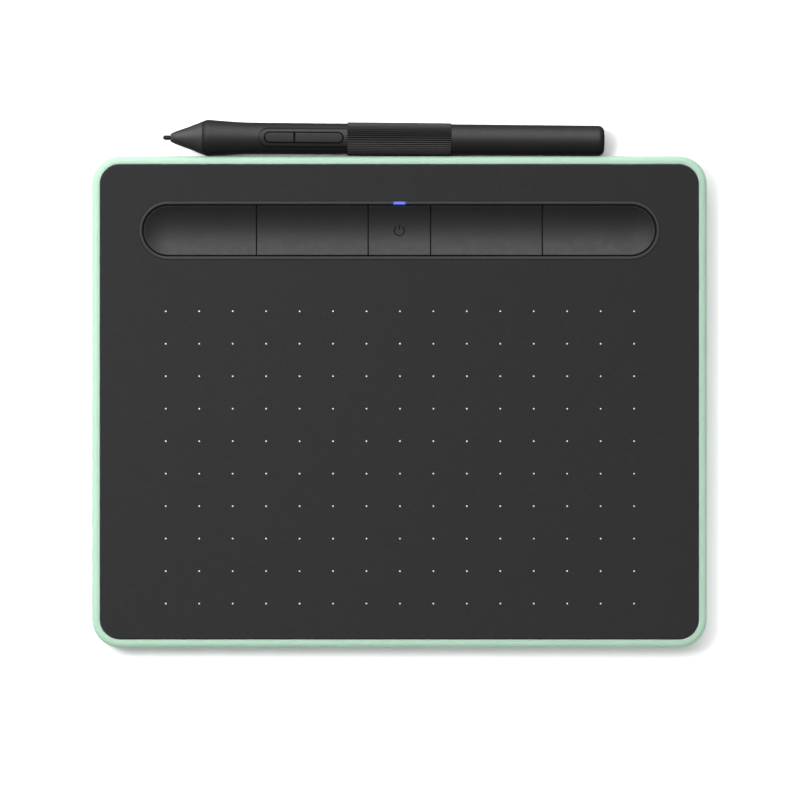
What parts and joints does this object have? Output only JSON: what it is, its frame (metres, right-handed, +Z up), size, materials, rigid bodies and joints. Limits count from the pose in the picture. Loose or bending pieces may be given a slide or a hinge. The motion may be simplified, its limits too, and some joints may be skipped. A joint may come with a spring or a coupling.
{
  "type": "pen drawing tablet",
  "caption": "Slim pen drawing tablet with a pale green shell, black drawing surface, dished keys in a rear trough, and its pen lying behind it.",
  "frame": {"origin": "on the desk, under the middle of the tablet and its pen together", "axes": "+X to the user's right, +Y away from the user towards the pen, +Z up"},
  "size_m": [0.2, 0.1718, 0.0119],
  "materials": {
    "mint_plastic": "fine satin moulded texture",
    "cover_plastic": "satin moulded plastic",
    "drawing_sheet": "paper-like fine grain, matte",
    "key_plastic": "satin moulded plastic",
    "status_window": "clear light guide, lit blue",
    "foot_rubber": "matte moulded rubber",
    "screw_steel": "zinc plated",
    "circuit_board": "solder mask over glass fibre laminate",
    "chip_resin": "moulded resin",
    "shield_tin": "tin plated sheet",
    "connector_steel": "nickel plated stamped steel",
    "connector_plastic": "moulded nylon",
    "white_plastic": "moulded nylon",
    "ribbon_film": "polyester film",
    "foam_pad": "closed cell foam",
    "battery_foil": "laminated foil pouch",
    "tape": "double sided tape",
    "lead_insulation": "soft insulation",
    "switch_metal": "stamped switch body",
    "pen_plastic": "soft satin moulded plastic",
    "pen_band": "ribbed, matte",
    "pen_button": "satin moulded plastic",
    "nib_plastic": "moulded acetal, worn smooth at the point",
    "grid_ink": "pale printed dots on the drawing sheet",
    "ferrite": "sintered ferrite",
    "copper_wire": "enamelled copper"
  },
  "bodies": {
    "casing": {"base_shell": "mint_plastic", "top_cover": "cover_plastic", "surface_sheet": "drawing_sheet", "light_guide": "status_window", "status_led": "white_plastic", "key_switches": "switch_metal", "main_board": "circuit_board", "main_chip": "chip_resin", "radio_shield": "shield_tin", "usb_shell": "connector_steel", "usb_tongue": "connector_plastic", "battery_socket": "white_plastic", "ribbon_socket": "white_plastic", "sensor_ribbon": "ribbon_film", "sensor_board": "circuit_board", "shield_plate": "shield_tin", "battery_pack": "battery_foil", "battery_tape": "tape", "battery_leads": "lead_insulation", "support_pads": "foam_pad", "case_screws": "screw_steel", "board_screws": "screw_steel", "rubber_feet": "foot_rubber"},
    "key_1": {"key_1": "key_plastic"},
    "key_2": {"key_2": "key_plastic"},
    "power_button": {"power_button": "key_plastic"},
    "key_3": {"key_3": "key_plastic"},
    "key_4": {"key_4": "key_plastic"},
    "pen": {"nose_cone": "pen_plastic", "front_barrel": "pen_plastic", "ribbed_sleeve": "pen_band", "coil_core": "ferrite", "coil_winding": "copper_wire", "pressure_sensor": "white_plastic", "pen_board": "circuit_board", "pen_chassis": "connector_plastic", "button_switches": "switch_metal", "nib_store": "connector_plastic", "spare_nibs": "nib_plastic"},
    "nib": {"nib": "nib_plastic"},
    "front_button": {"front_button": "pen_button"},
    "rear_button": {"rear_button": "pen_button"},
    "rear_barrel": {"rear_barrel": "pen_plastic"}
  },
  "joints": [
    {"name": "key_1_press", "type": "slide", "parent": "casing", "child": "key_1", "axis": [0, 0, -1], "range_m": [0, 0.0005], "stiffness_N_per_m": 300, "springref_m": -0.002},
    {"name": "key_2_press", "type": "slide", "parent": "casing", "child": "key_2", "axis": [0, 0, -1], "range_m": [0, 0.0005], "stiffness_N_per_m": 300, "springref_m": -0.002},
    {"name": "power_press", "type": "slide", "parent": "casing", "child": "power_button", "axis": [0, 0, -1], "range_m": [0, 0.0005], "stiffness_N_per_m": 300, "springref_m": -0.002},
    {"name": "key_3_press", "type": "slide", "parent": "casing", "child": "key_3", "axis": [0, 0, -1], "range_m": [0, 0.0005], "stiffness_N_per_m": 300, "springref_m": -0.002},
    {"name": "key_4_press", "type": "slide", "parent": "casing", "child": "key_4", "axis": [0, 0, -1], "range_m": [0, 0.0005], "stiffness_N_per_m": 300, "springref_m": -0.002},
    {"name": "pen_lift", "type": "slide", "parent": "casing", "child": "pen", "axis": [0, 0, 1], "range_m": [0, 0.06]},
    {"name": "nib_press", "type": "slide", "parent": "pen", "child": "nib", "axis": [1, -0.007, -0.007], "range_m": [0, 0.0005], "stiffness_N_per_m": 400, "springref_m": -0.001},
    {"name": "front_button_press", "type": "slide", "parent": "pen", "child": "front_button", "axis": [-0.0071, -0.0174, -0.9998], "range_m": [0, 0.0004], "stiffness_N_per_m": 300, "springref_m": -0.002},
    {"name": "rear_button_press", "type": "slide", "parent": "pen", "child": "rear_button", "axis": [-0.0071, -0.0174, -0.9998], "range_m": [0, 0.0004], "stiffness_N_per_m": 300, "springref_m": -0.002},
    {"name": "rear_barrel_pull", "type": "slide", "parent": "pen", "child": "rear_barrel", "axis": [1, -0.007, -0.007], "range_m": [0, 0.036]}
  ]
}
